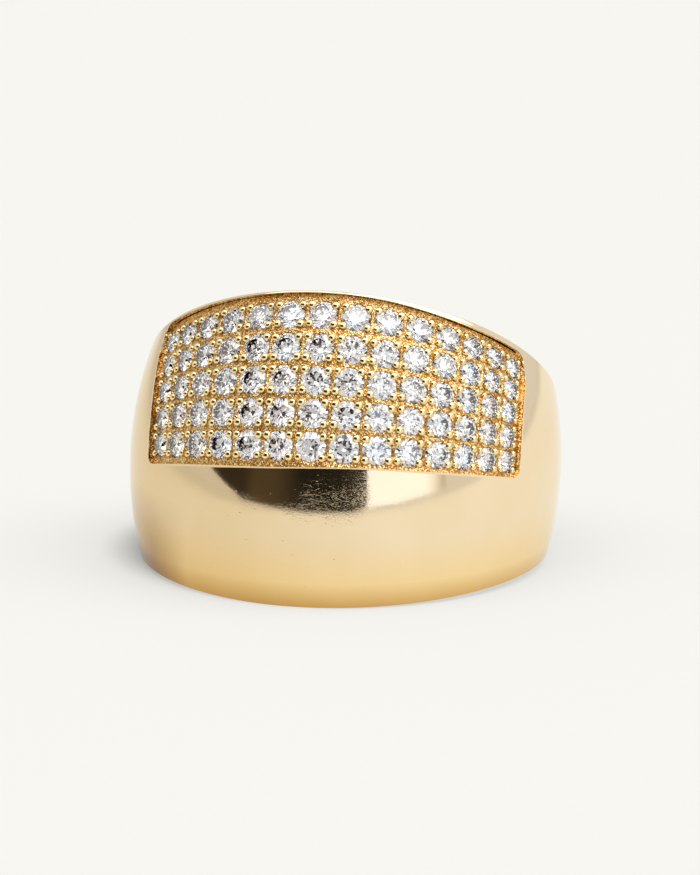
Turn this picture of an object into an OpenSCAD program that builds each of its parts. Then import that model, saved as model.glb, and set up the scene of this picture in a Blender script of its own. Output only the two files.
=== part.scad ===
/* [Finger hole] */
// Inside diameter of the ring
bore_d = 17; // [15.5:0.1:18.5]

/* [Band] */
// Thickness of the metal where the band is widest, as the mean of its front and its back
wall = 2.6; // [2.3:0.1:3.2]
// How far the outer face is set forward of the finger hole, which makes the front thicker
front_set = 0.75; // [0.2:0.05:1.2]
// Width that the two sides reach where they meet the outer circle at the front
front_w = 17.9; // [16.5:0.1:18.8]
// Width that the two sides reach at the back
back_w = 3.4; // [2.6:0.1:4.4]
// How far each side is hollowed between the front and the back
side_hollow = 0.45; // [0.2:0.05:0.7]
// Radius of the dome across the band
crown_r = 18; // [15.5:0.5:22]

/* [Stone field] */
// Stones in each row
cols = 14; // [8:1:14]
// Rows of stones
rows = 5; // [3:1:5]
// Diameter of a stone in the middle of the field
stone_d = 1.5; // [1.3:0.02:1.56]
// Gap between neighbouring stones of a row
stone_gap = 0.27; // [0.2:0.01:0.36]
// How far round the band the middle of the field is shifted
field_shift = 1; // [0:0.1:1.2]
// Distance from the edge of the band to the middle of the top row, at the front
top_inset = 1.17; // [1.1:0.01:1.5]
// Distance from the middle of the band down to the lowest row
low_row = 0; // [0:0.05:0.6]
// How much further in the top row sits at the ends, as a share of the width
row_bow = 0.04; // [0:0.01:0.06]
// Depth of the field's floor below the polished face
recess = 0.28; // [0.15:0.01:0.4]
// Width of bare floor round the outermost stones
margin = 0.2; // [0.14:0.01:0.26]

/* [Setting] */
// Diameter of a bead of metal beside a middle stone
bead_d = 0.43; // [0.34:0.01:0.46]
// Distance from a middle stone's centre to each of its four beads
bead_out = 0.87; // [0.84:0.01:0.92]
// Height of a bead's centre over the floor
bead_up = 0.02; // [0:0.01:0.06]
// Clearance between a stone and its seat
seat_gap = 0.03; // [0.02:0.005:0.05]
// Depth of a stone's widest edge below the floor
girdle_down = 0.04; // [0:0.01:0.08]

/* [Stone cut] */
// Width of the flat top as a share of the stone
table_share = 0.57; // [0.5:0.01:0.62]
// Height above the widest edge as a share of the stone
crown_share = 0.155; // [0.13:0.005:0.17]
// Thickness of the widest edge as a share of the stone
girdle_share = 0.03; // [0.02:0.005:0.04]
// Depth below the widest edge as a share of the stone
pavilion_share = 0.43; // [0.4:0.005:0.45]

/* [Hidden] */

gold = [0.86, 0.69, 0.38];
diamond = [0.93, 0.94, 0.96];
outer_d = bore_d + 2 * wall;
out_r = outer_d / 2;
// how far in from its outer face the band is turned before the finger hole is cut
turned = 2 * wall + front_set;

// each side is a wide hollow curve from the front to the back: its radius and its centre
chord_y = outer_d;
chord_z = (back_w - front_w) / 2;
chord = sqrt(chord_y * chord_y + chord_z * chord_z);
side_r = chord * chord / (8 * side_hollow) + side_hollow / 2;
side_cy = -chord_z / chord * (side_r - side_hollow);
side_cz = (front_w + back_w) / 4 + chord_y / chord * (side_r - side_hollow);

// half the band's width at the distance y behind the centre of the outer circle
function side_z(y) = side_cz - sqrt(side_r * side_r - pow(y - side_cy, 2));
// radius of the domed face at the height z
function face_r(z) = out_r - crown_r + sqrt(crown_r * crown_r - z * z);

// height of the edge of the band at the angle a from the front, found by closing in on it
function edge_z(a, z = 5, n = 14) =
    n == 0 ? z : edge_z(a, (z + side_z(-face_r(z) * cos(a))) / 2, n - 1);

// height of the top row at the angle a, and how small the stones are there beside the middle ones
row_share = 1 - top_inset / edge_z(0);
function top_row(a) = edge_z(a) * (row_share - row_bow * pow(a * PI / 180, 2));
function shrink(a) = (top_row(a) + low_row) / (top_row(0) + low_row);
function stone_at(a) = stone_d * shrink(a);
function row_z(k, a) = -low_row + (top_row(a) + low_row) * k / (rows - 1);

// angle of a stone, stepping out from the middle of its row one stone at a time
function half_step(k, a) = (stone_at(a) + stone_gap) / face_r(row_z(k, a)) * 90 / PI;
function walk(k, a, side, n) =
    n == 0 ? a
    : walk(k, a + side * (half_step(k, a) + half_step(k, a + side * 2 * half_step(k, a))), side, n - 1);
function row_mid(k) = field_shift / face_r(row_z(k, 0)) * 180 / PI;
function first_step(k, side) = row_mid(k) + side * half_step(k, row_mid(k)) * (cols % 2 == 0 ? 1 : 2);
function stone_a(k, j) =
    j >= cols / 2 ? walk(k, first_step(k, 1), 1, j - ceil(cols / 2))
    : walk(k, first_step(k, -1), -1, floor(cols / 2) - 1 - j);
function row_a(k, j) = cols % 2 == 1 && j == floor(cols / 2) ? row_mid(k) : stone_a(k, j);

// slope of a row where a stone sits, so that its beads line up along the row
function row_slope(k, a) =
    atan((row_z(k, a + 2) - row_z(k, a - 2)) / (face_r(row_z(k, a)) * 4 * PI / 180));

// a point that lies off from the domed face by the distance out
function off_face(a, z, out) =
    let (b = asin(z / crown_r), r = out_r - crown_r + (crown_r + out) * cos(b))
    [r * sin(a), -r * cos(a), (crown_r + out) * sin(b)];

// the border of the field: its two ends and its lower and upper edges
function end_a(k, side) =
    let (a = row_a(k, side > 0 ? cols - 1 : 0))
    a + side * (stone_at(a) / 2 + margin) / face_r(row_z(k, a)) * 180 / PI;
function low_edge(a) = -low_row - stone_at(a) / 2 - margin;
function top_edge(a) = top_row(a) + stone_at(a) / 2 * 1.04 + margin;

// the ring lies on the lower edge of its front and of its back
rest_front = [-face_r(edge_z(0)), -edge_z(0)];
rest_back = [face_r(edge_z(180)), -edge_z(180)];
tilt = atan((rest_back[1] - rest_front[1]) / (rest_back[0] - rest_front[0]));
front_reach = (out_r - crown_r) * cos(tilt) + crown_r;
back_reach = rest_back[0] * cos(tilt) - rest_back[1] * sin(tilt);
lift = -(rest_front[0] * -sin(tilt) + rest_front[1] * cos(tilt));

// puts what is modelled round an upright axis into the way that the ring lies
module lying() {
    translate([0, (front_reach - back_reach) / 2, lift])
        rotate([-tilt, 0, 0])
            children();
}

// a turned band whose outer face is domed
module domed_band() {
    rotate_extrude($fn = 240)
        intersection() {
            translate([out_r - crown_r, 0]) circle(r = crown_r, $fn = 720);
            translate([out_r - turned, -front_w]) square([turned * 1.5, front_w * 2]);
        }
}

// what is cut away beside the band, above it for side 1 and below it for side -1
module side_cut(side) {
    translate([0, side_cy, side * side_cz])
        rotate([0, 90, 0])
            cylinder(r = side_r, h = outer_d * 2, center = true, $fn = 1440);
}

// what is cut out for the stone field: its floor has one flat-sided cell under each stone
module field_block() {
    // angle and height of the corner between four stones, or on the border of the field
    function line_a(k, i) =
        i == 0 ? end_a(k, -1) : i == cols ? end_a(k, 1) : (row_a(k, i - 1) + row_a(k, i)) / 2;
    function corner_a(i, j) =
        j == 0 ? line_a(0, i) : j == rows ? line_a(rows - 1, i) : (line_a(j - 1, i) + line_a(j, i)) / 2;
    function corner_z(a, j) =
        j == 0 ? low_edge(a) : j == rows ? top_edge(a) : (row_z(j - 1, a) + row_z(j, a)) / 2;
    function corner(i, j, out) = let (a = corner_a(i, j)) off_face(a, corner_z(a, j), out);
    function id(i, j, layer) = (layer * (cols + 1) + i) * (rows + 1) + j;
    points = [for (out = [-recess, 0.8]) for (i = [0 : cols]) for (j = [0 : rows]) corner(i, j, out)];
    bottom = [for (i = [0 : cols - 1]) for (j = [0 : rows - 1])
        [id(i, j, 0), id(i + 1, j, 0), id(i + 1, j + 1, 0), id(i, j + 1, 0)]];
    outer = [for (i = [0 : cols - 1]) for (j = [0 : rows - 1])
        [id(i, j, 1), id(i, j + 1, 1), id(i + 1, j + 1, 1), id(i + 1, j, 1)]];
    low_wall = [for (i = [0 : cols - 1]) [id(i, 0, 0), id(i, 0, 1), id(i + 1, 0, 1), id(i + 1, 0, 0)]];
    top_wall = [for (i = [0 : cols - 1])
        [id(i, rows, 0), id(i + 1, rows, 0), id(i + 1, rows, 1), id(i, rows, 1)]];
    left_wall = [for (j = [0 : rows - 1]) [id(0, j, 0), id(0, j + 1, 0), id(0, j + 1, 1), id(0, j, 1)]];
    right_wall = [for (j = [0 : rows - 1])
        [id(cols, j, 0), id(cols, j, 1), id(cols, j + 1, 1), id(cols, j + 1, 0)]];
    function halves(f) = [[f[0], f[1], f[2]], [f[0], f[2], f[3]]];
    faces = [for (f = concat(bottom, outer, low_wall, top_wall, left_wall, right_wall))
        for (t = halves(f)) t];
    polyhedron(points = points, faces = faces, convexity = 6);
}

// stands its children on the floor of the field at a stone's place, with Z straight out
module on_floor(k, a) {
    b = asin(row_z(k, a) / crown_r);
    r = out_r - crown_r + (crown_r - recess) * cos(b);
    rotate([0, 0, a])
        translate([0, -r, (crown_r - recess) * sin(b)])
            rotate([90 - b, 0, 0])
                rotate([0, 0, row_slope(k, a)])
                    children();
}

// one seat: a round hollow that clears the stone, and clears its upper slope from the beads
module seat(d) {
    r = d / 2 + seat_gap;
    top = (bead_up + bead_d / 2) * d / stone_d + 0.015;
    lean = (top + girdle_down - seat_gap) * (1 - table_share) / (2 * crown_share);
    rotate_extrude($fn = 32)
        polygon([
            [0, -girdle_down - d * girdle_share - d * pavilion_share - seat_gap],
            [r, -girdle_down - d * girdle_share - seat_gap],
            [r, -girdle_down + seat_gap],
            [max(r - lean, r * 0.2), top],
            [0, top]
        ]);
}

// the four beads that hold one stone
module four_beads(scale_by) {
    for (q = [45 : 90 : 315])
        rotate([0, 0, q])
            translate([bead_out * scale_by, 0, bead_up * scale_by])
                sphere(d = bead_d * scale_by, $fn = 20);
}

// one brilliant: flat top, sixteen-sided edge and a pointed foot
module brilliant(d) {
    top = d * crown_share;
    edge = -d * girdle_share;
    foot = edge - d * pavilion_share;
    star_r = d * (table_share / 2 * cos(22.5) + 0.5) / 2 * 1.02;
    table_pts = [for (i = [0 : 7]) [d * table_share / 2 * cos(i * 45), d * table_share / 2 * sin(i * 45), top]];
    star_pts = [for (i = [0 : 7])
        [star_r * cos(i * 45 + 22.5), star_r * sin(i * 45 + 22.5), top * 0.52]];
    high_pts = [for (i = [0 : 15]) [d / 2 * cos(i * 22.5), d / 2 * sin(i * 22.5), 0]];
    low_pts = [for (i = [0 : 15]) [d / 2 * cos(i * 22.5), d / 2 * sin(i * 22.5), edge]];
    mid_pts = [for (i = [0 : 7])
        [d * 0.13 * cos(i * 45 + 22.5), d * 0.13 * sin(i * 45 + 22.5), foot + d * 0.116]];
    n8 = function (i) (i + 8) % 8;
    n16 = function (i) (i + 16) % 16;
    table = [[for (i = [7 : -1 : 0]) i]];
    stars = [for (i = [0 : 7]) [i, n8(i + 1), 8 + i]];
    kites = [for (i = [0 : 7]) each [[i, 8 + i, 16 + 2 * i], [i, 16 + 2 * i, 8 + n8(i - 1)]]];
    halves = [for (i = [0 : 7]) each [
        [8 + i, 16 + 2 * i + 1, 16 + 2 * i],
        [8 + i, 16 + n16(2 * i + 2), 16 + 2 * i + 1]]];
    girdle = [for (i = [0 : 15]) each [
        [16 + i, 16 + n16(i + 1), 32 + n16(i + 1)],
        [16 + i, 32 + n16(i + 1), 32 + i]]];
    lower = [for (i = [0 : 7]) each [
        [32 + 2 * i, 32 + 2 * i + 1, 48 + i],
        [32 + 2 * i + 1, 32 + n16(2 * i + 2), 48 + i]]];
    mains = [for (i = [0 : 7]) each [[32 + 2 * i, 48 + i, 56], [32 + 2 * i, 56, 48 + n8(i - 1)]]];
    points = concat(table_pts, star_pts, high_pts, low_pts, mid_pts, [[0, 0, foot]]);
    faces = concat(table, stars, kites, halves, girdle, lower, mains);
    polyhedron(points = points, faces = [for (f = faces) [for (i = [len(f) - 1 : -1 : 0]) f[i]]]);
}

module ring_body() {
    color(gold)
        lying()
            difference() {
                union() {
                    difference() {
                        domed_band();
                        side_cut(1);
                        side_cut(-1);
                        field_block();
                    }
                    for (k = [0 : rows - 1])
                        for (j = [0 : cols - 1])
                            on_floor(k, row_a(k, j)) four_beads(shrink(row_a(k, j)));
                }
                translate([0, front_set, 0])
                    cylinder(d = bore_d, h = front_w * 2, center = true, $fn = 180);
                for (k = [0 : rows - 1])
                    for (j = [0 : cols - 1])
                        on_floor(k, row_a(k, j)) seat(stone_at(row_a(k, j)));
            }
}

module pave_stones() {
    color(diamond)
        lying()
            for (k = [0 : rows - 1])
                for (j = [0 : cols - 1])
                    on_floor(k, row_a(k, j))
                        translate([0, 0, -girdle_down])
                            brilliant(stone_at(row_a(k, j)));
}

ring_body();
pave_stones();
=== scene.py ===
import math
import random

import bpy
from mathutils import Matrix, Vector


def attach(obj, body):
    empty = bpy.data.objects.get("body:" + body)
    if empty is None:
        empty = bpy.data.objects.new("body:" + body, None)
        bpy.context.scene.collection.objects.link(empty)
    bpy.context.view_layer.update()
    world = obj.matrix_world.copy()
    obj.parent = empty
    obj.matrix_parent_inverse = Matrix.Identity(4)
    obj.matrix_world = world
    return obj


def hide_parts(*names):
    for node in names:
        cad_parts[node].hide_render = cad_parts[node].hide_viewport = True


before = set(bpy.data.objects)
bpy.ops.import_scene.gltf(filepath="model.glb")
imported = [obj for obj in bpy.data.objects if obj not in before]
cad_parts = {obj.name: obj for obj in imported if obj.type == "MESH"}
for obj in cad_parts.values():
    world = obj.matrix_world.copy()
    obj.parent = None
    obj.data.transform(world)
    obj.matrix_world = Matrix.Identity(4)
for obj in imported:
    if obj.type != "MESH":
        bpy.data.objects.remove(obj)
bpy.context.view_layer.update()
bpy.ops.object.select_all(action="DESELECT")
mm = 0.001
print("frame loaded:", sorted(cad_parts))

# The ring is worked out in millimetres and degrees round its own upright axis, with the angle 0 at the
# middle of its front and growing to the right, and is then laid down the way it rests.
band = {
    "boreRadius": 8.5,
    "boreSetBack": 0.75,      # how far the finger hole stands behind the middle of the outside
    "outerRadius": 11.1,
    "crownRadius": 18.0,      # dome across the band
    "frontWidth": 17.9,
    "backWidth": 3.4,
    "sideHollow": 0.45,
    "outerEdge": 0.09,        # how far the rounding of the outer edge reaches
    "innerEdge": 0.35,
    "innerEdgeMost": 0.4,     # share of the wall that the rounding of the inner edge takes at most
    "coarseStep": 0.34,       # size of the mesh's faces in the open, and beside an edge
    "fineStep": 0.07,
    "stepGrowth": 1.16,
    "cornerSteps": 4,
    "sideSteps": 3,
    "boreSteps": 12,
    "sharpFrom": 40,          # an edge that turns by more degrees than this stays sharp
}
field = {
    "columns": 14,
    "rows": 5,
    "stone": 1.5,
    "gap": 0.27,
    "shift": 1.0,             # how far right of the front the field's middle stands
    "topInset": 1.17,         # from the upper edge down to the middle of the highest stones
    "lowRow": 0.0,            # how far below the ring's middle the lowest row stands
    "rowBow": 0.04,
    "depth": 0.28,
    "wallBelowFloor": 0.07,
    "margin": 0.2,
    "topMargin": 0.12,        # least distance of the highest stones from the upper border
    "topStoneRoom": 1.04,
    "topStrip": 0.14,         # polished metal left between the field and the upper edge
    "topStripRight": 0.36,
    "topStripRightAngles": (8, 54),    # it widens between these two
    "topStripLeftMore": 0.07,
    "topStripLeftAngles": (-8, -58),
    "lowReachLeft": 0.17,     # how much lower the field reaches in its left half
    "lowReachAngles": (18, -17),
    "lowReachEndAngles": (-110, -70),  # beyond the field's left end it comes back
    "corner": 0.45,
    "rimHeight": 0.025,       # how far the rim stands up from the dome
    "rim": 0.05,              # width of the bright rim round the field
}

chordAcross = 2 * band["outerRadius"]
chordUp = (band["backWidth"] - band["frontWidth"]) / 2
chordLong = math.hypot(chordAcross, chordUp)
sideRadius = chordLong ** 2 / (8 * band["sideHollow"]) + band["sideHollow"] / 2
sideCentreY = -chordUp / chordLong * (sideRadius - band["sideHollow"])
sideCentreZ = ((band["frontWidth"] + band["backWidth"]) / 4
               + chordAcross / chordLong * (sideRadius - band["sideHollow"]))
domeCentre = band["outerRadius"] - band["crownRadius"]


def mixed(p, q, share):
    return p + (q - p) * share


def shareOfWay(x, start, end):
    return min(max((x - start) / (end - start), 0.0), 1.0)


def eased(share):
    return share * share * (3 - 2 * share)


def sideHeight(y):
    return sideCentreZ - math.sqrt(sideRadius ** 2 - (y - sideCentreY) ** 2)


def faceRadius(z):
    return domeCentre + math.sqrt(band["crownRadius"] ** 2 - z * z)


def boreRadiusAt(a):
    back = band["boreSetBack"] * math.cos(math.radians(a))
    return -back + math.sqrt(back ** 2 + band["boreRadius"] ** 2 - band["boreSetBack"] ** 2)


def edgeHeight(a):
    # the height at which dome and side meet, found by closing in on it
    z = 5.0
    for _ in range(14):
        z = (z + sideHeight(-faceRadius(z) * math.cos(math.radians(a)))) / 2
    return z


rowShare = 1 - field["topInset"] / edgeHeight(0)


def topRow(a):
    return edgeHeight(a) * (rowShare - field["rowBow"] * math.radians(a) ** 2)


def shrinkAt(a):
    return (topRow(a) + field["lowRow"]) / (topRow(0) + field["lowRow"])


def stoneAt(a):
    return field["stone"] * shrinkAt(a)


def rowHeight(k, a):
    return -field["lowRow"] + (topRow(a) + field["lowRow"]) * k / (field["rows"] - 1)


def halfStep(k, a):
    return (stoneAt(a) + field["gap"]) / faceRadius(rowHeight(k, a)) * 90 / math.pi


def rowAngles(k):
    # the stones of row k from left to right, set outward from the middle of the field
    middle = math.degrees(field["shift"] / faceRadius(rowHeight(k, 0)))
    half = field["columns"] // 2
    angles = {}
    for side in (1, -1):
        a = middle + side * halfStep(k, middle)
        for n in range(half):
            angles[side, n] = a
            a += side * (halfStep(k, a) + halfStep(k, a + side * 2 * halfStep(k, a)))
    return [angles[-1, half - 1 - n] for n in range(half)] + [angles[1, n] for n in range(half)]


stoneAngles = [rowAngles(k) for k in range(field["rows"])]


def rowSlope(k, a):
    rise = rowHeight(k, a + 2) - rowHeight(k, a - 2)
    return math.atan(rise / math.radians(4 * faceRadius(rowHeight(k, a))))


def endAngle(k, side):
    a = stoneAngles[k][-1 if side > 0 else 0]
    return a + side * math.degrees((stoneAt(a) / 2 + field["margin"]) / faceRadius(rowHeight(k, a)))


def lowEdge(a):
    share = shareOfWay(a, *field["lowReachAngles"]) * shareOfWay(a, *field["lowReachEndAngles"])
    return -field["lowRow"] - stoneAt(a) / 2 - field["margin"] - field["lowReachLeft"] * eased(share)


def topEdge(a):
    strip = mixed(field["topStrip"], field["topStripRight"], eased(shareOfWay(a, *field["topStripRightAngles"])))
    strip += field["topStripLeftMore"] * shareOfWay(a, *field["topStripLeftAngles"])
    stonesEnd = topRow(a) + stoneAt(a) / 2 * field["topStoneRoom"]
    return max(stonesEnd + field["topMargin"], edgeHeight(a) - strip)


def knots(values):
    # the borders between neighbours, from the first value to the last
    return [values[0]] + [(p + q) / 2 for p, q in zip(values, values[1:])] + [values[-1]]


def between(values, t):
    # reads evenly spaced values at any place from 0 to 1
    t = min(max(t, 0.0), 1.0) * (len(values) - 1)
    n = min(int(t), len(values) - 2)
    return mixed(values[n], values[n + 1], t - n)


leftEnds = knots([endAngle(k, -1) for k in range(field["rows"])])
rightEnds = knots([endAngle(k, 1) for k in range(field["rows"])])


def fieldHeight(a, h):
    # h goes from 0 at the field's lower border to 1 at its upper one
    middles = [(rowHeight(k, a) + rowHeight(k + 1, a)) / 2 for k in range(field["rows"] - 1)]
    return between([lowEdge(a)] + middles + [topEdge(a)], h)


def placeAt(a, r, z):
    return Vector((r * math.sin(math.radians(a)), -r * math.cos(math.radians(a)), z))


def offFace(a, z, out):
    b = math.asin(z / band["crownRadius"])
    reach = band["crownRadius"] + out
    return placeAt(a, domeCentre + reach * math.cos(b), reach * math.sin(b))


# the ring rests on the lower edge of its front and of its back
frontFoot = (-faceRadius(edgeHeight(0)), -edgeHeight(0))
backFoot = (faceRadius(edgeHeight(180)), -edgeHeight(180))
tilt = math.atan((backFoot[1] - frontFoot[1]) / (backFoot[0] - frontFoot[0]))
frontReach = domeCentre * math.cos(tilt) + band["crownRadius"]
backReach = backFoot[0] * math.cos(tilt) - backFoot[1] * math.sin(tilt)
lift = frontFoot[0] * math.sin(tilt) - frontFoot[1] * math.cos(tilt)
lying = (Matrix.Scale(mm, 4) @ Matrix.Translation((0, (frontReach - backReach) / 2, lift))
         @ Matrix.Rotation(-tilt, 4, "X"))
upright = lying.inverted()


def onFloor(k, a):
    # stands on the field's floor under a stone, with Z away from the ring and X along the row
    b = math.asin(rowHeight(k, a) / band["crownRadius"])
    deep = band["crownRadius"] - field["depth"]
    return (lying @ Matrix.Rotation(math.radians(a), 4, "Z")
            @ Matrix.Translation((0, -(domeCentre + deep * math.cos(b)), deep * math.sin(b)))
            @ Matrix.Rotation(math.pi / 2 - b, 4, "X") @ Matrix.Rotation(rowSlope(k, a), 4, "Z"))


print("tilt %.3f degrees, lift %.3f mm" % (math.degrees(tilt), lift))


def startMaterial(name):
    material = bpy.data.materials.new(name)
    material.use_nodes = True
    tree = material.node_tree
    place = tree.nodes.new("ShaderNodeTexCoord").outputs["Object"]
    return material, tree, tree.nodes["Principled BSDF"].inputs, place


def addSplit(tree, vector):
    split = tree.nodes.new("ShaderNodeSeparateXYZ")
    tree.links.new(vector, split.inputs["Vector"])
    return split.outputs


def addNoise(tree, place, size, detail, along=1.0, turn=0, shift=0, warp=0.0):
    # size is the pattern's width in millimetres; along below 1 draws it out sideways, and turn tips it
    mapping = tree.nodes.new("ShaderNodeMapping")
    mapping.inputs["Scale"].default_value = [stretch / (size * mm) for stretch in (along, 1, 1)]
    mapping.inputs["Rotation"].default_value = (0, math.radians(turn), 0)
    mapping.inputs["Location"].default_value = (shift, shift, shift)
    noise = tree.nodes.new("ShaderNodeTexNoise")
    noise.inputs["Scale"].default_value = 1.0
    noise.inputs["Detail"].default_value = detail
    noise.inputs["Distortion"].default_value = warp
    tree.links.new(place, mapping.inputs["Vector"])
    tree.links.new(mapping.outputs["Vector"], noise.inputs["Vector"])
    return noise.outputs["Fac"]


def addCells(tree, place, size):
    # one even tone for each grain of this width, and the distance from the grain's middle
    mapping = tree.nodes.new("ShaderNodeMapping")
    mapping.inputs["Scale"].default_value = [1 / (size * mm)] * 3
    cells = tree.nodes.new("ShaderNodeTexVoronoi")
    cells.inputs["Scale"].default_value = 1.0
    tree.links.new(place, mapping.inputs["Vector"])
    tree.links.new(mapping.outputs["Vector"], cells.inputs["Vector"])
    return cells.outputs["Color"], cells.outputs["Distance"]


def addRamp(tree, value, stops):
    ramp = tree.nodes.new("ShaderNodeValToRGB")
    while len(ramp.color_ramp.elements) < len(stops):
        ramp.color_ramp.elements.new(0.5)
    for element, (at, color) in zip(ramp.color_ramp.elements, stops):
        element.position = at
        element.color = (*color, 1)
    tree.links.new(value, ramp.inputs["Fac"])
    return ramp.outputs["Color"]


def addRange(tree, value, low, high, toLow, toHigh, ease=False):
    ranger = tree.nodes.new("ShaderNodeMapRange")
    if ease:
        ranger.interpolation_type = "SMOOTHSTEP"
    ranger.inputs["From Min"].default_value = low
    ranger.inputs["From Max"].default_value = high
    ranger.inputs["To Min"].default_value = toLow
    ranger.inputs["To Max"].default_value = toHigh
    tree.links.new(value, ranger.inputs["Value"])
    return ranger.outputs["Result"]


def addMath(tree, kind, first, second):
    step = tree.nodes.new("ShaderNodeMath")
    step.operation = kind
    for socket, value in zip(step.inputs, (first, second)):
        if isinstance(value, (int, float)):
            socket.default_value = value
        else:
            tree.links.new(value, socket)
    return step.outputs["Value"]


def addProduct(tree, *factors):
    product = factors[0]
    for factor in factors[1:]:
        product = addMath(tree, "MULTIPLY", product, factor)
    return product


def addTint(tree, tone, tint, share):
    mix = tree.nodes.new("ShaderNodeMix")
    mix.data_type = "RGBA"
    mix.blend_type = "MULTIPLY"
    mix.inputs[7].default_value = (*tint, 1)
    tree.links.new(tone, mix.inputs[6])
    tree.links.new(share, mix.inputs["Factor"])
    return mix.outputs[2]


def addBump(tree, height, distance, under=None):
    bump = tree.nodes.new("ShaderNodeBump")
    bump.inputs["Distance"].default_value = distance * mm
    tree.links.new(height, bump.inputs["Height"])
    if under is not None:
        tree.links.new(under, bump.inputs["Normal"])
    return bump.outputs["Normal"]


polish = {
    "lightTone": (0.79, 0.60, 0.35),
    "deepTone": (0.76, 0.57, 0.315),
    "cloud": 5.0,             # widths, depths and places are all in millimetres
    # the tone is multiplied by four tints of painted light and shade; each fade is in full at its first place and
    # gone at its second
    # painted reflection: the gold turns warmer and deeper towards the floor, as if it mirrored warm light bounced
    # off the floor
    "paintedWarmReflectionTint": (1.07, 0.94, 0.60),
    "paintedWarmReflectionFade": (0.3, 3.6),
    # painted shadow: a dark band along the lowest millimetre, where the ring touches the floor
    "paintedContactShadowTint": (0.74, 0.62, 0.50),
    "paintedContactShadowFade": (0.1, 1.3),
    # painted shade: the lower front left is darkened, as if it mirrored the ring's own shadow on the floor
    "paintedLeftShadeTint": (0.50, 0.42, 0.35),
    "paintedLeftShadeFade": {"X": (-8.8, -6.6), "Z": (0.8, 4.7), "Y": (-4.0, 2.0)},
    # painted highlight: the gold turns paler towards the right, as a bright sheen
    "paintedRightSheenTint": (1.21, 1.31, 1.56),
    "paintedRightSheenFade": (5.0, -9.0),
    "smear": 0.8,
    "roughLow": 0.045,
    "roughHigh": 0.085,
    "hair": 0.042,            # width of a hairline scratch
    "hairAlong": 0.11,
    "hairWarp": 0.7,
    "hairTurns": ((18, 3.1), (-27, 7.7), (58, 12.4), (-62, 21.9)),  # direction and shift of each set
    "hairFrom": 0.61,
    "hairTo": 0.74,
    "hairPatch": 2.4,
    "hairDepth": 0.0004,      # faint hairlines all over
    "wornDepth": 0.0012,      # hairlines of the worn place under the field
    "wornRough": 0.25,
    "wornLeft": (0.15, -0.65),
    "wornRight": (3.0, 3.5),
    "wornLow": -3.4,          # its lower edge, from the middle of the upright ring; its heights start here
    "wornRise": (0.8, 0.0),
    "wornFall": (0.9, 2.4),
    "wornHigh": 0.3,          # share of it that is left higher up
    "pit": 0.16,              # a few tiny nicks
    "pitDepth": 0.004,
    "grain": 0.11,            # a fine grain that is strongest near the foot
    "grainDepth": 0.0016,
    "grainFade": (0.4, 3.0),
    "grainHigh": 0.3,
}


def makePolishedGold():
    material, tree, inputs, place = startMaterial("polishedGold")
    split = addSplit(tree, place)

    def fade(axis, full, gone, least=0.0):
        if full < gone:
            return addRange(tree, split[axis], full * mm, gone * mm, 1.0, least)
        return addRange(tree, split[axis], gone * mm, full * mm, least, 1.0)

    cloud = addNoise(tree, place, polish["cloud"], 3)
    tone = addRamp(tree, cloud, [(0.35, polish["deepTone"]), (0.65, polish["lightTone"])])
    # the four tints paint light and shade into the gold: a warm reflection low down, a shadow at the foot, shade
    # at the lower front left and a paler sheen to the right
    paintedShadeShareLeft = addProduct(tree, *[fade(axis, *polish["paintedLeftShadeFade"][axis]) for axis in polish["paintedLeftShadeFade"]])
    tone = addTint(tree, tone, polish["paintedWarmReflectionTint"], fade("Z", *polish["paintedWarmReflectionFade"]))
    tone = addTint(tree, tone, polish["paintedContactShadowTint"], fade("Z", *polish["paintedContactShadowFade"]))
    tone = addTint(tree, tone, polish["paintedLeftShadeTint"], paintedShadeShareLeft)
    tone = addTint(tree, tone, polish["paintedRightSheenTint"], fade("X", *polish["paintedRightSheenFade"]))
    inputs["Metallic"].default_value = 1.0
    tree.links.new(tone, inputs["Base Color"])

    # hairline scratches left by wear, in several directions; under the field they are deeper and closer
    hairs = None
    for turn, shift in polish["hairTurns"]:
        line = addNoise(tree, place, polish["hair"], 2, polish["hairAlong"], turn, shift, polish["hairWarp"])
        line = addRange(tree, line, polish["hairFrom"], polish["hairTo"], 0.0, 1.0)
        hairs = line if hairs is None else addMath(tree, "MAXIMUM", hairs, line)
    lowest = (lying @ offFace(0, polish["wornLow"], 0)).z / mm
    rise = [lowest + z for z in polish["wornRise"]]
    fall = [lowest + z for z in polish["wornFall"]]
    worn = addProduct(tree, fade("X", *polish["wornLeft"]), fade("X", *polish["wornRight"]), fade("Z", *rise),
                      fade("Z", *fall, polish["wornHigh"]), fade("Y", 0, 1))
    smear = addNoise(tree, place, polish["smear"], 4, 0.35, 20)
    smear = addRange(tree, smear, 0.3, 0.7, polish["roughLow"], polish["roughHigh"])
    scuffed = addProduct(tree, hairs, worn, polish["wornRough"])
    tree.links.new(addMath(tree, "ADD", smear, scuffed), inputs["Roughness"])

    patches = addRange(tree, addNoise(tree, place, polish["hairPatch"], 2, shift=5), 0.42, 0.62, 0.1, 1.0)
    faint = addProduct(tree, patches, polish["hairDepth"] / polish["wornDepth"])
    depth = addMath(tree, "MAXIMUM", faint, worn)
    normal = addBump(tree, addProduct(tree, hairs, depth), polish["wornDepth"])
    pits = addRange(tree, addNoise(tree, place, polish["pit"], 1, 0.6, 30), 0.76, 0.80, 1.0, 0.0)
    normal = addBump(tree, pits, polish["pitDepth"], normal)
    grain = addNoise(tree, place, polish["grain"], 2)
    coarser = fade("Z", *polish["grainFade"], polish["grainHigh"])
    normal = addBump(tree, addProduct(tree, grain, coarser), polish["grainDepth"], normal)
    tree.links.new(normal, inputs["Normal"])
    return material


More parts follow.
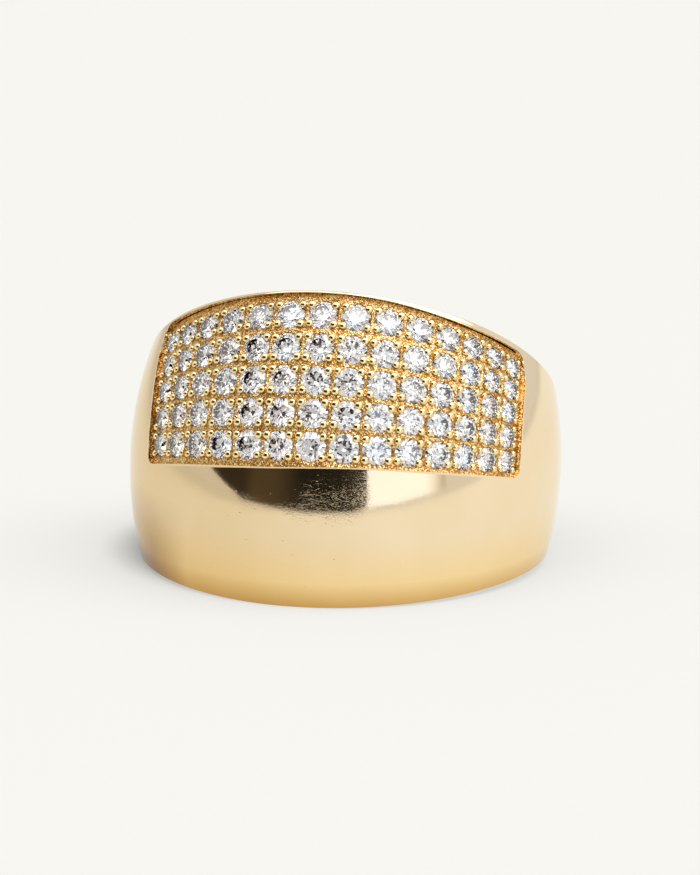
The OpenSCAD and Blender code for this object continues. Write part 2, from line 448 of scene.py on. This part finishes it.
grained = {
    "deepTone": (0.44, 0.19, 0.03),
    "middleTone": (0.76, 0.42, 0.11),
    "lightTone": (1.0, 0.80, 0.44),
    "grain": 0.07,            # width of one grain
    "grainDepth": 0.03,
    "roughDeep": 0.40,
    "roughLight": 0.20,
    "wave": 0.2,
    "waveDepth": 0.02,
}


def makeGrainedGold():
    material, tree, inputs, place = startMaterial("grainedGold")
    grain, distance = addCells(tree, place, grained["grain"])
    tone = addRamp(tree, grain, [(0.30, grained["deepTone"]), (0.52, grained["middleTone"]),
                                 (0.74, grained["lightTone"])])
    tree.links.new(tone, inputs["Base Color"])
    inputs["Metallic"].default_value = 1.0
    rough = addRange(tree, grain, 0.3, 0.7, grained["roughDeep"], grained["roughLight"])
    tree.links.new(rough, inputs["Roughness"])
    normal = addBump(tree, distance, grained["grainDepth"])
    normal = addBump(tree, addNoise(tree, place, grained["wave"], 1), grained["waveDepth"], normal)
    tree.links.new(normal, inputs["Normal"])
    return material


beadMetal = {
    "deepTone": (0.93, 0.70, 0.33),
    "lightTone": (1.0, 0.82, 0.47),
    "cloud": 0.5,
    "roughLow": 0.08,
    "roughHigh": 0.18,
    "dent": 0.09,
    "dentDepth": 0.004,
}


def makeBeadGold():
    material, tree, inputs, place = startMaterial("beadGold")
    cloud = addNoise(tree, place, beadMetal["cloud"], 2)
    tone = addRamp(tree, cloud, [(0.3, beadMetal["deepTone"]), (0.7, beadMetal["lightTone"])])
    tree.links.new(tone, inputs["Base Color"])
    inputs["Metallic"].default_value = 1.0
    rough = addRange(tree, cloud, 0.3, 0.7, beadMetal["roughLow"], beadMetal["roughHigh"])
    tree.links.new(rough, inputs["Roughness"])
    normal = addBump(tree, addNoise(tree, place, beadMetal["dent"], 1), beadMetal["dentDepth"])
    tree.links.new(normal, inputs["Normal"])
    return material


brilliance = {
    "warmTone": (1.0, 0.975, 0.965),
    "coolTone": (0.985, 0.99, 1.0),
    "cloud": 2.0,
    "refraction": 2.42,
    "roughHigh": 0.012,
}


def makeClearBrilliant():
    material, tree, inputs, place = startMaterial("clearBrilliant")
    cloud = addNoise(tree, place, brilliance["cloud"], 1)
    tone = addRamp(tree, cloud, [(0.35, brilliance["warmTone"]), (0.65, brilliance["coolTone"])])
    tree.links.new(tone, inputs["Base Color"])
    inputs["Transmission Weight"].default_value = 1.0
    inputs["IOR"].default_value = brilliance["refraction"]
    # the facets under the girdle return the light like a mirror, as they do in a well cut stone
    under = tree.nodes.new("ShaderNodeAttribute")
    under.attribute_name = "underside"
    tree.links.new(under.outputs["Fac"], inputs["Metallic"])
    tree.links.new(addRange(tree, cloud, 0.3, 0.7, 0.0, brilliance["roughHigh"]), inputs["Roughness"])
    return material


polishedGold = makePolishedGold()
grainedGold = makeGrainedGold()
beadGold = makeBeadGold()
clearBrilliant = makeClearBrilliant()


def finishPiece(piece, name, material, node):
    piece.name = name
    piece.data.name = name
    piece.data.materials.clear()
    piece.data.materials.append(material)
    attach(piece, "root")
    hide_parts(node)
    return piece


def onlyActive(piece):
    bpy.ops.object.select_all(action="DESELECT")
    piece.select_set(True)
    bpy.context.view_layer.objects.active = piece


def joinCopies(pattern, meshes):
    # makes one piece of all the copies of a pattern, which isn't needed itself any more
    copies = []
    for mesh in meshes:
        copies.append(bpy.data.objects.new("copy", mesh))
        bpy.context.collection.objects.link(copies[-1])
    bpy.data.objects.remove(pattern)
    bpy.ops.object.select_all(action="DESELECT")
    for copy in copies:
        copy.select_set(True)
    bpy.context.view_layer.objects.active = copies[0]
    bpy.ops.object.join()
    return bpy.context.active_object


def marksAlong(length, fineStart=True):
    # shares of a length that lie close together near its end, and near its start unless told otherwise
    coarse, fine = band["coarseStep"], band["fineStep"]
    left, right = [0.0], [length]
    stepLeft, stepRight = fine if fineStart else coarse, fine
    while right[-1] - left[-1] > 1.6 * max(stepLeft, stepRight):
        if stepLeft <= stepRight:
            left.append(left[-1] + stepLeft)
            stepLeft = min(coarse, stepLeft * band["stepGrowth"])
        else:
            right.append(right[-1] - stepRight)
            stepRight = min(coarse, stepRight * band["stepGrowth"])
    return [x / length for x in left + right[::-1]]


def roundedCorner(p, corner, q, count):
    out = []
    for n in range(count + 1):
        t = n / count
        out.append(tuple((1 - t) ** 2 * p[i] + 2 * t * (1 - t) * corner[i] + t * t * q[i] for i in range(2)))
    return out


def wrapped(a):
    return (a + 180) % 360 - 180


def rimAt(a):
    # half of the band's outline at an angle, from the dome round the edge into the finger hole, as radius
    # and height
    cosine = math.cos(math.radians(a))
    edge = edgeHeight(a)
    edgeR, innerR = faceRadius(edge), boreRadiusAt(a)
    reach, steps = band["outerEdge"], band["sideSteps"]
    faceZ = edge - reach * math.cos(math.asin(edge / band["crownRadius"]))
    inner = min(band["innerEdge"], (edgeR - innerR) * band["innerEdgeMost"])
    radii = [edgeR - reach + (innerR + inner - edgeR + reach) * n / steps for n in range(steps + 1)]
    side = [(r, sideHeight(-r * cosine)) for r in radii]
    outerCorner = roundedCorner((faceRadius(faceZ), faceZ), (edgeR, edge), side[0], band["cornerSteps"])
    innerZ = sideHeight(-innerR * cosine)
    innerCorner = roundedCorner(side[-1], (innerR, innerZ), (innerR, innerZ - inner), band["cornerSteps"])
    return outerCorner + side[1:] + innerCorner[1:]


def modelBand():
    # the mesh runs round the ring in columns, those of the field first, and across it in rows
    fieldArc = math.radians(rightEnds[0] - leftEnds[0]) * band["outerRadius"]
    backArc = 2 * math.pi * band["outerRadius"] - fieldArc
    fieldMarks = marksAlong(fieldArc)
    fieldColumns = len(fieldMarks) - 1
    lowPart = marksAlong(edgeHeight(0) + lowEdge(0), fineStart=False)
    fieldPart = marksAlong(topEdge(0) - lowEdge(0))
    topPart = (0.33, 0.66, 1.0)
    firstRow = len(lowPart) - 1
    lastRow = firstRow + len(fieldPart) - 1
    rho = field["corner"]

    def squeezed(a, z, h):
        # rounds the four corners of the field by moving what lies near them
        at, perDegree = wrapped(a), math.radians(faceRadius(z))
        for side, ends in ((1, leftEnds), (-1, rightEnds)):
            for up, border in ((1, lowEdge(at)), (-1, topEdge(at))):
                end = between(ends, h)
                x = rho - (at - end) * side * perDegree
                y = rho - (z - border) * up
                far = max(x, y)
                if min(x, y) > 0 and far <= 3 * rho:
                    grow = 1 + (far / math.hypot(x, y) - 1) * min(1.0, (3 * rho - far) / (2 * rho))
                    return end + side * (rho - x * grow) / perDegree, border + up * (rho - y * grow)
        return a, z

    def sectionAt(inBack, t):
        places = []

        def putOnFace(a, z, h):
            a, z = squeezed(a, z, h)
            places.append(placeAt(a, faceRadius(z), z))

        def columnAngle(h):
            left, right = between(leftEnds, h), between(rightEnds, h)
            return mixed(right, 360 + left, t) if inBack else mixed(left, right, t)

        aLow, aTop = columnAngle(0), columnAngle(1)
        lowRim, topRim = rimAt(aLow), rimAt(aTop)
        for mark in lowPart[:-1]:
            putOnFace(aLow, mixed(-lowRim[0][1], lowEdge(wrapped(aLow)), mark), 0)
        for h in fieldPart:
            putOnFace(columnAngle(h), fieldHeight(wrapped(columnAngle(h)), h), h)
        for mark in topPart:
            putOnFace(aTop, mixed(topEdge(wrapped(aTop)), topRim[0][1], mark), 1)
        places.extend(placeAt(aTop, r, z) for r, z in topRim[1:])
        for n in range(1, band["boreSteps"] + 1):
            share = n / band["boreSteps"]
            a = mixed(aTop, aLow, share)
            places.append(placeAt(a, boreRadiusAt(a), mixed(topRim[-1][1], -lowRim[-1][1], share)))
        places.extend(placeAt(aLow, r, -z) for r, z in lowRim[-2:0:-1])
        return [lying @ place for place in places]

    sections = [sectionAt(False, t) for t in fieldMarks[:-1]]
    sections += [sectionAt(True, t) for t in marksAlong(backArc)[:-1]]
    around = len(sections[0])
    bpy.ops.mesh.primitive_torus_add(major_segments=len(sections), minor_segments=around,
                                     major_radius=10 * mm, minor_radius=1 * mm)
    piece = bpy.context.active_object
    piece.data.vertices.foreach_set("co", [c for section in sections for place in section for c in place])
    inField = []
    for polygon in piece.data.polygons:
        columns = [v // around for v in polygon.vertices]
        rows = [v % around for v in polygon.vertices]
        inField.append(max(columns) <= fieldColumns and max(columns) - min(columns) == 1
                       and firstRow <= min(rows) and max(rows) <= lastRow)
    onRim = {i * around + j for i in range(fieldColumns + 1) for j in (firstRow, lastRow)}
    onRim.update(i * around + j for i in (0, fieldColumns) for j in range(firstRow, lastRow + 1))
    rimGroup = piece.vertex_groups.new(name="fieldRim")
    rimGroup.add(sorted(onRim), 1.0, "REPLACE")
    for n in onRim:
        x, y, z = upright @ piece.data.vertices[n].co
        piece.data.vertices[n].co = lying @ offFace(math.degrees(math.atan2(x, -y)), z, field["rimHeight"])
    onlyActive(piece)
    bpy.ops.object.mode_set(mode="EDIT")
    bpy.ops.mesh.select_mode(type="FACE")
    bpy.ops.mesh.select_all(action="SELECT")
    bpy.ops.mesh.normals_make_consistent(inside=False)
    bpy.ops.mesh.select_all(action="DESELECT")
    bpy.ops.object.mode_set(mode="OBJECT")
    piece.data.polygons.foreach_set("select", inField)
    bpy.ops.object.mode_set(mode="EDIT")
    # the field is pushed in, and its floor is left out, because it is a piece of its own
    push = -(field["depth"] + field["wallBelowFloor"]) * mm
    bpy.ops.mesh.extrude_region_shrink_fatten(TRANSFORM_OT_shrink_fatten={"value": push})
    bpy.ops.mesh.delete(type="FACE")
    bpy.ops.mesh.select_mode(type="EDGE")
    bpy.ops.mesh.select_all(action="DESELECT")
    bpy.ops.object.mode_set(mode="OBJECT")
    onFace = set()
    for vertex in piece.data.vertices:
        if any(g.group == rimGroup.index for g in vertex.groups):
            x, y, z = upright @ vertex.co
            fromFace = math.hypot(math.hypot(x, y) - domeCentre, z) - band["crownRadius"]
            if abs(fromFace) < field["rimHeight"] + 0.02:  # the pushed-in ones are much further off
                onFace.add(vertex.index)
    for edge in piece.data.edges:
        edge.select = edge.vertices[0] in onFace and edge.vertices[1] in onFace
    bpy.ops.object.mode_set(mode="EDIT")
    bpy.ops.mesh.bevel(offset=field["rim"] * mm, segments=2, profile=0.6, affect="EDGES")
    bpy.ops.object.mode_set(mode="OBJECT")
    piece.vertex_groups.clear()
    bpy.ops.object.shade_smooth_by_angle(angle=math.radians(band["sharpFrom"]))
    return finishPiece(piece, "polishedBand", polishedGold, "ring_body")


polishedBand = modelBand()
print("band modelled:", len(polishedBand.data.polygons), "faces")


# the floor of the field is a grid whose squares are drawn to a round seat under each stone
seats = {
    "clearance": 0.03,
    "lip": 0.05,
    "lipDrop": 0.03,
    # a seat's hollow from its middle outward: share of its radius, and depth as a share of the stone's width
    "hollow": ((0.0, 0.56), (0.6, 0.40), (0.97, 0.13)),
    "ridge": 0.09,            # how high the wall between two stones of a row stands
    "tuck": 0.12,             # how far the floor goes under the polished border
    "tuckTop": 0.6,           # share of that at the upper border
    "sharpFrom": 55,
}


def modelFloor():
    half = len(seats["hollow"]) + 2
    size = 2 * half           # squares of the grid across one stone's place
    columns, rows = field["columns"], field["rows"]
    bpy.ops.mesh.primitive_grid_add(x_subdivisions=columns * size, y_subdivisions=rows * size, size=2)
    piece = bpy.context.active_object
    lines = [knots(stoneAngles[k]) for k in range(rows)]
    for k in range(rows):
        lines[k][0], lines[k][-1] = endAngle(k, -1), endAngle(k, 1)
    cornerAngles = [knots([lines[k][i] for k in range(rows)]) for i in range(columns + 1)]

    def borderPlace(i, j, out):
        # i and j count grid lines from the lower left corner
        column, row = min(i // size, columns - 1), min(j // size, rows - 1)
        low, high = [mixed(cornerAngles[column][n], cornerAngles[column + 1][n], i / size - column)
                     for n in (row, row + 1)]
        a = mixed(low, high, j / size - row)
        z = fieldHeight(a, j / size / rows)
        if i in (0, columns * size):
            a += math.degrees(seats["tuck"] / band["outerRadius"]) * (1 if i else -1)
        if j in (0, rows * size):
            z += seats["tuck"] * (seats["tuckTop"] if j else -1)
        return lying @ offFace(a, z, out - field["depth"])

    frames = {(k, j): (onFloor(k, a), stoneAt(a)) for k in range(rows) for j, a in enumerate(stoneAngles[k])}
    for vertex in piece.data.vertices:
        i = round((vertex.co.x + 1) / 2 * columns * size)
        j = round((vertex.co.y + 1) / 2 * rows * size)
        column, row = min(i // size, columns - 1), min(j // size, rows - 1)
        x, y = i - column * size - half, j - row * size - half
        ring = max(abs(x), abs(y))
        if ring == half:
            besideStone = abs(x) == half and 0 < i < columns * size
            out = seats["ridge"] * (1 - (y / half) ** 2) ** 2 if besideStone else 0.0
            vertex.co = borderPlace(i, j, out)
            continue
        place, stone = frames[row, column]
        r = stone / 2 + seats["clearance"]
        steps = [(r * share, -deep * stone) for share, deep in seats["hollow"]]
        steps += [(r, -seats["lipDrop"]), (r + seats["lip"], 0.0)]
        reach, height = steps[ring]
        if ring == 0:
            turn = 0
        elif abs(x) == ring:
            turn = 45 * y / ring if x > 0 else 180 - 45 * y / ring
        else:
            turn = 90 - 45 * x / ring if y > 0 else 270 + 45 * x / ring
        turn = math.radians(turn)
        vertex.co = place @ Vector((reach * math.cos(turn), reach * math.sin(turn), height))
    onlyActive(piece)
    bpy.ops.object.shade_smooth_by_angle(angle=math.radians(seats["sharpFrom"]))
    return finishPiece(piece, "fieldFloor", grainedGold, "ring_body")


fieldFloor = modelFloor()
print("floor modelled:", len(fieldFloor.data.polygons), "faces")


beads = {
    "wide": 0.445,
    "tall": 0.64,             # share of a round bead's height
    "out": 0.825,             # distance from the middle of the stone
    "turn": 41.5,             # where the beads stand round their stone, from the row's own line
    "up": 0.055,
    "cutBelow": 0.06,
    "unevenSize": 0.07,
    "unevenPlace": 0.018,
    "unevenTurn": 2,
    "segments": 12,
    "rings": 7,
    "seed": 11,
}


def modelBeads():
    chance = random.Random(beads["seed"])
    bpy.ops.mesh.primitive_uv_sphere_add(segments=beads["segments"], ring_count=beads["rings"],
                                         radius=beads["wide"] / 2)
    bead = bpy.context.active_object
    bpy.ops.object.mode_set(mode="EDIT")
    bpy.ops.mesh.select_all(action="SELECT")
    bpy.ops.mesh.bisect(plane_co=(0, 0, -beads["cutBelow"]), plane_no=(0, 0, 1), clear_inner=True)
    bpy.ops.object.mode_set(mode="OBJECT")
    onlyActive(bead)
    bpy.ops.object.shade_smooth()
    meshes = []
    for k in range(field["rows"]):
        for a in stoneAngles[k]:
            scale = shrinkAt(a)
            place = onFloor(k, a)
            for turn in (beads["turn"], 180 - beads["turn"], 180 + beads["turn"], 360 - beads["turn"]):
                size = scale * (1 + chance.uniform(-1, 1) * beads["unevenSize"])
                wander = [chance.uniform(-1, 1) * beads["unevenPlace"] for _ in range(3)]
                turn += chance.uniform(-beads["unevenTurn"], beads["unevenTurn"])
                off = (beads["out"] * scale + wander[0], wander[1], beads["up"] * scale + wander[2])
                mesh = bead.data.copy()
                mesh.transform(place @ Matrix.Rotation(math.radians(turn), 4, "Z") @ Matrix.Translation(off)
                               @ Matrix.Diagonal((size, size, size * beads["tall"], 1)))
                meshes.append(mesh)
    return finishPiece(joinCopies(bead, meshes), "settingBeads", beadGold, "ring_body")


settingBeads = modelBeads()
print("beads modelled:", len(settingBeads.data.polygons), "faces")


# one brilliant is cut facet by facet, then set into each seat
cut = {
    "table": 0.57,            # sizes as shares of the stone's width, slopes in degrees
    "crown": 0.155,
    "girdle": 0.03,
    "pavilion": 0.43,
    "halfSlope": 42.0,
    "starSlope": 21.0,
    "lowHalfSlope": 42.3,
    "roundness": 48,
    "size": 1.03,             # a stone is this much wider than the size that its seat goes by
    "sunk": 0.04,
    "unevenSunk": 0.01,
    "tip": 2.5,               # most degrees that a stone leans
    "seed": 5,
}


def modelStones():
    chance = random.Random(cut["seed"])
    girdle = cut["girdle"]
    bpy.ops.mesh.primitive_cylinder_add(vertices=cut["roundness"], radius=0.5, depth=2)
    stone = bpy.context.active_object
    bpy.ops.object.mode_set(mode="EDIT")

    def cutFacet(turn, slope, through, height, up):
        # a flat cut that leans by slope and passes the place at this distance from the middle and this height
        turn, slope = math.radians(turn), math.radians(slope)
        normal = (math.sin(slope) * math.cos(turn), math.sin(slope) * math.sin(turn), math.cos(slope) * up)
        bpy.ops.mesh.select_all(action="SELECT")
        bpy.ops.mesh.bisect(plane_co=(through * math.cos(turn), through * math.sin(turn), height),
                            plane_no=normal, use_fill=True, clear_outer=True)

    cutFacet(0, 0, 0, cut["crown"], 1)
    tableRadius = cut["table"] / 2
    crownSlope = math.degrees(math.atan(cut["crown"] / (0.5 - tableRadius)))
    lowSlope = math.degrees(math.atan(cut["pavilion"] / 0.5))
    for n in range(8):
        cutFacet(45 * n, crownSlope, 0.5, 0, 1)
        cutFacet(45 * n, lowSlope, 0.5, -girdle, -1)
    halfReach = 0.5 * math.cos(math.radians(11.25))
    for n in range(16):
        cutFacet(11.25 + 22.5 * n, cut["halfSlope"], halfReach, 0, 1)
        cutFacet(11.25 + 22.5 * n, cut["lowHalfSlope"], halfReach, -girdle, -1)
    for n in range(8):
        cutFacet(22.5 + 45 * n, cut["starSlope"], tableRadius * math.cos(math.radians(22.5)), cut["crown"], 1)
    bpy.ops.mesh.select_all(action="SELECT")
    bpy.ops.mesh.remove_doubles(threshold=0.0005)
    bpy.ops.mesh.normals_make_consistent(inside=False)
    bpy.ops.object.mode_set(mode="OBJECT")
    onlyActive(stone)
    bpy.ops.object.shade_flat()
    below = [1.0 if polygon.center.z < -girdle * 1.02 else 0.0 for polygon in stone.data.polygons]
    stone.data.attributes.new("underside", "FLOAT", "FACE").data.foreach_set("value", below)
    print("one stone has", len(below), "facets")
    meshes = []
    for k in range(field["rows"]):
        for a in stoneAngles[k]:
            leanBy = math.radians(chance.uniform(0, cut["tip"]))
            leanRound = Vector((math.cos(chance.uniform(0, 6.28)), math.sin(chance.uniform(0, 6.28)), 0))
            drop = -cut["sunk"] + chance.uniform(-cut["unevenSunk"], cut["unevenSunk"])
            turn = math.radians(chance.uniform(0, 45))
            mesh = stone.data.copy()
            mesh.transform(onFloor(k, a) @ Matrix.Translation((0, 0, drop))
                           @ Matrix.Rotation(leanBy, 4, leanRound.normalized()) @ Matrix.Rotation(turn, 4, "Z")
                           @ Matrix.Scale(stoneAt(a) * cut["size"], 4))
            meshes.append(mesh)
    return finishPiece(joinCopies(stone, meshes), "brilliants", clearBrilliant, "pave_stones")


brilliants = modelStones()
print("stones cut:", len(brilliants.data.polygons), "faces")


def towards(azimuth, elevation=0):
    turn, rise = math.radians(azimuth), math.radians(elevation)
    return Vector((math.sin(turn) * math.cos(rise), -math.cos(turn) * math.cos(rise), math.sin(rise)))


# the sheet that the ring lies on glows evenly; its glow is dimmed round the ring as a painted shadow, and far away
# and to the left as painted shade
sheet = {
    "size": 4,                # metres
    "tone": (0.30, 0.298, 0.283),
    "glow": (0.63, 0.624, 0.593),
    "cloud": 60.0,            # the other measures are in millimetres
    "paintedShadowMiddle": (-1.5, 1.5),
    "paintedShadowReach": (8.0, 11.8),
    "paintedShadowGlow": 0.24,      # share of the glow
    "paintedShadeFarReach": (130, 420),
    "paintedShadeLeftReach": (-170, -36),
    "paintedShadeGlow": 0.7,
}


def layFloor():
    material, tree, inputs, place = startMaterial("paleFloor")
    inputs["Roughness"].default_value = 0.9
    inputs["Specular IOR Level"].default_value = 0.0
    noise = addNoise(tree, place, sheet["cloud"], 2)
    tone = addRamp(tree, noise, [(0.3, [c * 0.995 for c in sheet["tone"]]), (0.7, sheet["tone"])])
    tree.links.new(tone, inputs["Base Color"])
    inputs["Emission Color"].default_value = (*sheet["glow"], 1)

    def glowShare(measure, reach, first, last):
        return addRange(tree, measure, reach[0] * mm, reach[1] * mm, first, last, ease=True)

    fromShade = tree.nodes.new("ShaderNodeVectorMath")
    fromShade.operation = "DISTANCE"
    fromShade.inputs[1].default_value = (*[x * mm for x in sheet["paintedShadowMiddle"]], 0)
    fromMiddle = tree.nodes.new("ShaderNodeVectorMath")
    fromMiddle.operation = "LENGTH"
    for measure in (fromShade, fromMiddle):
        tree.links.new(place, measure.inputs[0])
    # painted shadow round the ring, and painted shade far away and to the left, made by dimming the glow
    near = glowShare(fromShade.outputs["Value"], sheet["paintedShadowReach"], sheet["paintedShadowGlow"], 1.0)
    far = glowShare(fromMiddle.outputs["Value"], sheet["paintedShadeFarReach"], 1.0, sheet["paintedShadeGlow"])
    left = glowShare(addSplit(tree, place)["X"], sheet["paintedShadeLeftReach"], sheet["paintedShadeGlow"], 1.0)
    share = addProduct(tree, near, addMath(tree, "MINIMUM", far, left))
    tree.links.new(share, inputs["Emission Strength"])
    bpy.ops.mesh.primitive_plane_add(size=sheet["size"])
    studioFloor = bpy.context.active_object
    studioFloor.name = "studioFloor"
    studioFloor.data.materials.append(material)


# upright cards that stand round the ring and show in reflections alone; a side of a card is its azimuth
# and its lower end, and tones are given by their azimuth from left to right
darkRoom = {
    "darkRoomFarLeft": {
        "left": (-66, 0.052), "right": (-45, 0.003), "distance": 0.62, "top": 0.80, "inStones": False,
        "tones": ((-66, (0.017, 0.013, 0.009)), (-50, (0.02, 0.015, 0.01)))},
    "darkRoomLeft": {
        "left": (-45, 0.003), "right": (-20, 0.0), "distance": 0.62, "top": 0.80, "inStones": False,
        "tones": ((-45, (0.02, 0.015, 0.01)), (-38, (0.040, 0.029, 0.016)),
                  (-27, (0.038, 0.028, 0.015)), (-20, (0.022, 0.017, 0.011)))},
    "darkRoomMiddle": {
        "left": (-20, 0.0), "right": (16, 0.0), "distance": 0.62, "top": 0.80, "inStones": False,
        "tones": ((-20, (0.022, 0.017, 0.011)), (-12, (0.008, 0.0065, 0.0045)),
                  (8, (0.008, 0.007, 0.005)), (16, (0.019, 0.016, 0.010)))},
    "darkRoomRight": {
        "left": (16, 0.0), "right": (22.4, 0.018), "distance": 0.62, "top": 0.80, "inStones": False,
        "tones": ((16, (0.019, 0.016, 0.010)), (22.4, (0.024, 0.020, 0.013)))},
}
slats = {
    "distance": 0.55,
    "top": 0.60,
    "tone": (0.05, 0.046, 0.044),
    "azimuths": {"slatOne": (-62, -54), "slatTwo": (-40, -33), "slatThree": (-18, -10), "slatFour": (2, 9),
                 "slatFive": (26, 31)},
}
softbox = {
    "left": (22.4, 0.012), "right": (66, 0.016), "distance": 0.60, "top": 0.45,
    "tones": ((22.4, (0.60, 0.64, 0.74)), (50, (0.60, 0.64, 0.71)),
              (56, (0.48, 0.485, 0.49)), (62, (0.31, 0.30, 0.28))),
}


def addCard(name, left, right, distance, top, tones, onMetal=True, inStones=True):
    bpy.ops.mesh.primitive_plane_add(size=1)
    card = bpy.context.active_object
    card.name = name
    leftEdge, rightEdge = towards(left[0]) * distance, towards(right[0]) * distance
    corners = [(*leftEdge.xy, left[1]), (*rightEdge.xy, right[1]), (*leftEdge.xy, top), (*rightEdge.xy, top)]
    for vertex, corner in zip(card.data.vertices, corners):
        vertex.co = corner
    material, tree, inputs, place = startMaterial(name)
    inputs["Base Color"].default_value = (0, 0, 0, 1)
    inputs["Specular IOR Level"].default_value = 0.0
    across = addRange(tree, addSplit(tree, place)["X"], leftEdge.x, rightEdge.x, 0.0, 1.0)
    stops = [(((towards(azimuth) * distance).x - leftEdge.x) / (rightEdge.x - leftEdge.x), color)
             for azimuth, color in tones]
    tree.links.new(addRamp(tree, across, stops), inputs["Emission Color"])
    inputs["Emission Strength"].default_value = 2.0
    card.data.materials.append(material)
    card.visible_camera = False
    card.visible_shadow = False
    card.visible_diffuse = False
    card.visible_glossy = onMetal
    card.visible_transmission = inStones


def placeCards():
    for name, values in darkRoom.items():
        addCard(name, **values)
    for name, (left, right) in slats["azimuths"].items():
        addCard(name, (left, 0.0), (right, 0.0), slats["distance"], slats["top"],
                ((left, slats["tone"]), (right, slats["tone"])), onMetal=False)
    addCard("softboxRight", **softbox)


air = {
    "tone": (1.0, 0.995, 0.98),
    "strengthAtHorizon": 0.73,
    "strengthAbove": 0.83,
    "onMattThings": 0.45,     # share of the air's light that falls on matt things
}


def fillAir():
    world = bpy.data.worlds.new("studioAir")
    bpy.context.scene.world = world
    world.use_nodes = True
    tree = world.node_tree
    background = tree.nodes["Background"].inputs
    background["Color"].default_value = (*air["tone"], 1)
    height = addSplit(tree, tree.nodes.new("ShaderNodeTexCoord").outputs["Generated"])["Z"]
    rise = addRange(tree, height, 0.0, 0.4, air["strengthAtHorizon"], air["strengthAbove"])
    mattRay = tree.nodes.new("ShaderNodeLightPath").outputs["Is Diffuse Ray"]
    matt = addRange(tree, mattRay, 0.0, 1.0, 1.0, air["onMattThings"])
    tree.links.new(addProduct(tree, rise, matt), background["Strength"])


softLights = {
    "keyLight": {
        "azimuth": 85, "elevation": 60, "distance": 2.0, "size": 1.9, "power": 24.0, "color": (1.0, 0.99, 0.97)},
    "fillLight": {
        "azimuth": -40, "elevation": 62, "distance": 2.0, "size": 1.9, "power": 13.0, "color": (1.0, 0.995, 0.98)},
}


def addSoftLight(name, azimuth, elevation, distance, size, power, color):
    data = bpy.data.lights.new(name, "AREA")
    data.shape = "SQUARE"
    data.size = size
    data.energy = power
    data.color = color
    light = bpy.data.objects.new(name, data)
    bpy.context.collection.objects.link(light)
    light.location = towards(azimuth, elevation) * distance
    light.rotation_euler = (-light.location).to_track_quat("-Z", "Y").to_euler()


view = {
    "azimuth": 10.67,
    "elevation": 14.16,
    "distance": 1500.0,
    "pixelsPerMm": 19.42,
    "picture": (700, 875),
    "ringAt": (345.6, 460.7),  # where the middle of the ring's outer circle stands in the picture
    "sensor": 36,
}


def addCamera():
    back = towards(view["azimuth"], view["elevation"])
    middle = lying @ Vector((0, 0, 0))
    turn = math.radians(view["azimuth"])
    right = Vector((math.cos(turn), math.sin(turn), 0))
    up = back.cross(right)
    wide, tall = view["picture"]
    aim = (middle + right * (wide / 2 - view["ringAt"][0]) / view["pixelsPerMm"] * mm
           + up * (view["ringAt"][1] - tall / 2) / view["pixelsPerMm"] * mm)
    data = bpy.data.cameras.new("photoCamera")
    data.sensor_width = view["sensor"]
    data.lens = view["pixelsPerMm"] * view["distance"] * view["sensor"] / tall
    data.clip_start = 0.01
    camera = bpy.data.objects.new("photoCamera", data)
    bpy.context.collection.objects.link(camera)
    camera.location = middle + back * view["distance"] * mm
    camera.rotation_euler = (aim - camera.location).to_track_quat("-Z", "Y").to_euler()
    bpy.context.scene.camera = camera


layFloor()
placeCards()
fillAir()
for lightName, values in softLights.items():
    addSoftLight(lightName, **values)
addCamera()
bpy.context.scene.view_settings.view_transform = "Standard"
bpy.context.scene.cycles.caustics_reflective = False
print("studio set")
